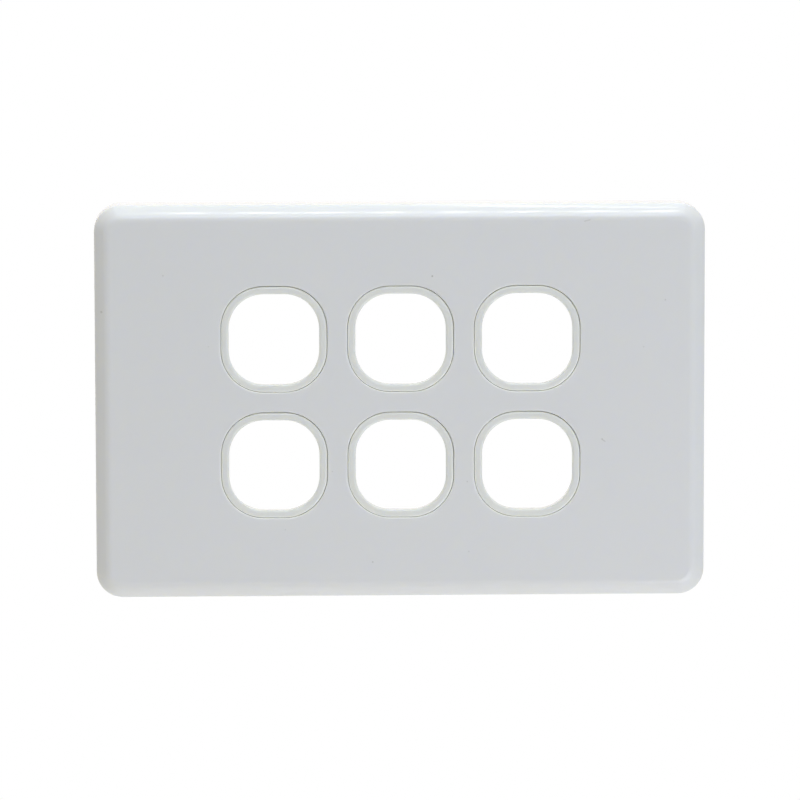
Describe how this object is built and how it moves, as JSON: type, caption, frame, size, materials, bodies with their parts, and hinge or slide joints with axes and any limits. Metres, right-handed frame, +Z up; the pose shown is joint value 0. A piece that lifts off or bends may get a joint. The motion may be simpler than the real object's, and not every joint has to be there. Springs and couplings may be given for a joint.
{
  "type": "grid switch plate",
  "caption": "Landscape wall plate for switch mechanisms: a clip-on cover with rounded-square holes over a grid plate whose collars stand flush in them.",
  "frame": {"origin": "midway between the two fixing slots, on the wall plane", "axes": "hangs upright as on a wall: +X along its length to the viewer's right, +Z up, +Y into the wall, the front faces -Y"},
  "size_m": [0.116, 0.008, 0.075],
  "materials": {
    "cover": "moulded white plastic, semi-gloss",
    "grid": "moulded white plastic, semi-gloss"
  },
  "bodies": {
    "grid": {"grid_plate": "grid"},
    "cover": {"cover_plate": "cover"}
  },
  "joints": [
    {"name": "cover_pull", "type": "slide", "parent": "grid", "child": "cover", "axis": [0, -1, 0], "range_m": [0, 0.02]}
  ]
}
